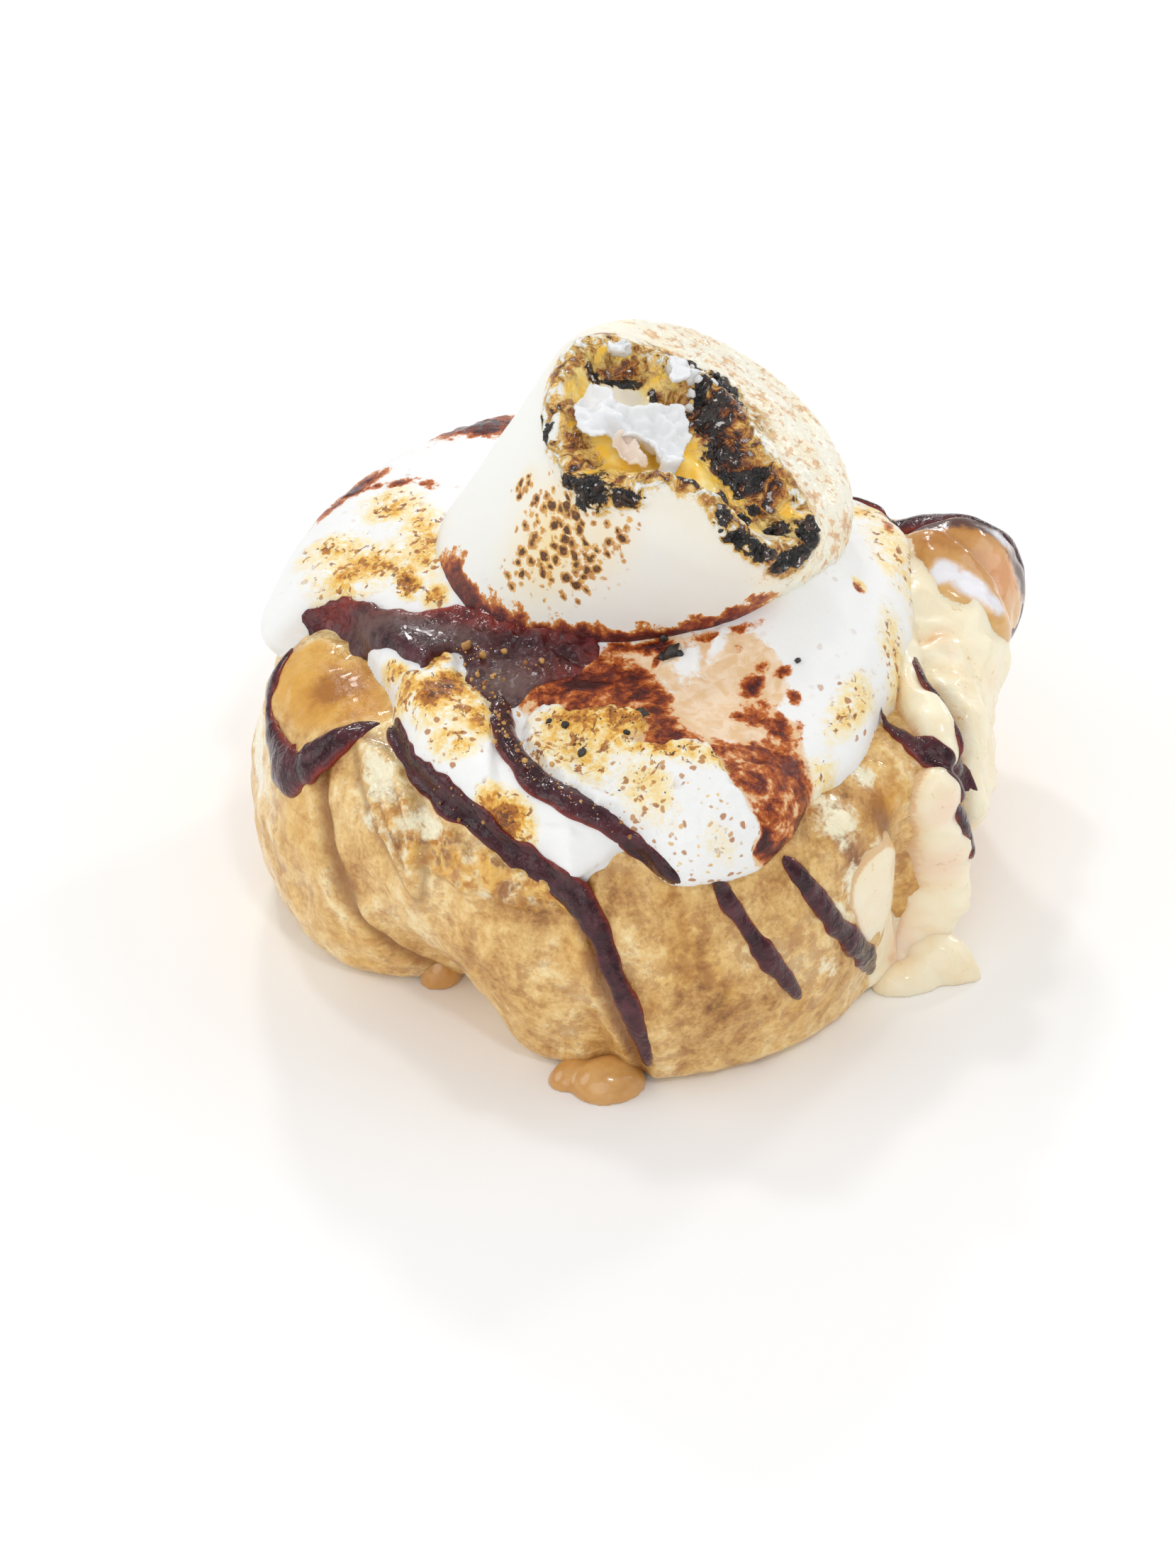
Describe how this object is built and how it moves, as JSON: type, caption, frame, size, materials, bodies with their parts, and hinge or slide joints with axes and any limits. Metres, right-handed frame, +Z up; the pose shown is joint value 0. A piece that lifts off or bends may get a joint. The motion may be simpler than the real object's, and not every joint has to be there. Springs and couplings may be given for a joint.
{
  "type": "s'more bun",
  "caption": "Coiled glazed bun with melted toasted marshmallow, chocolate sauce and cream icing, topped by a whole leaning toasted marshmallow.",
  "frame": {"origin": "on the surface it stands on, under the middle of the bounding box", "axes": "+Z up, -Y towards the eater, +X to the eater's right, where the marshmallow leans"},
  "size_m": [0.0842, 0.0848, 0.0625],
  "materials": {
    "dough": "baked dough with a thin wet glaze",
    "melted_marshmallow": "soft satin, toasted in patches",
    "toasted_marshmallow": "soft satin, toasted and charred at one end",
    "marshmallow_skin": "smooth satin",
    "chocolate": "glossy sauce",
    "icing": "soft gloss",
    "glaze": "sticky gloss"
  },
  "bodies": {
    "root": {"roll": "dough", "melted_marshmallow": "melted_marshmallow", "marshmallow": "toasted_marshmallow", "skin_flap": "marshmallow_skin", "skin_flake_back": "marshmallow_skin", "skin_flake_side": "marshmallow_skin", "chocolate_pool": "chocolate", "chocolate_left": "chocolate", "chocolate_front_left": "chocolate", "chocolate_centre": "chocolate", "chocolate_front_right": "chocolate", "chocolate_right": "chocolate", "chocolate_cleft": "chocolate", "chocolate_rim": "chocolate", "chocolate_side": "chocolate", "icing_lobe": "icing", "icing_run": "icing", "icing_pool": "icing", "glaze_drip_front": "glaze", "glaze_drip_left": "glaze"}
  },
  "joints": []
}
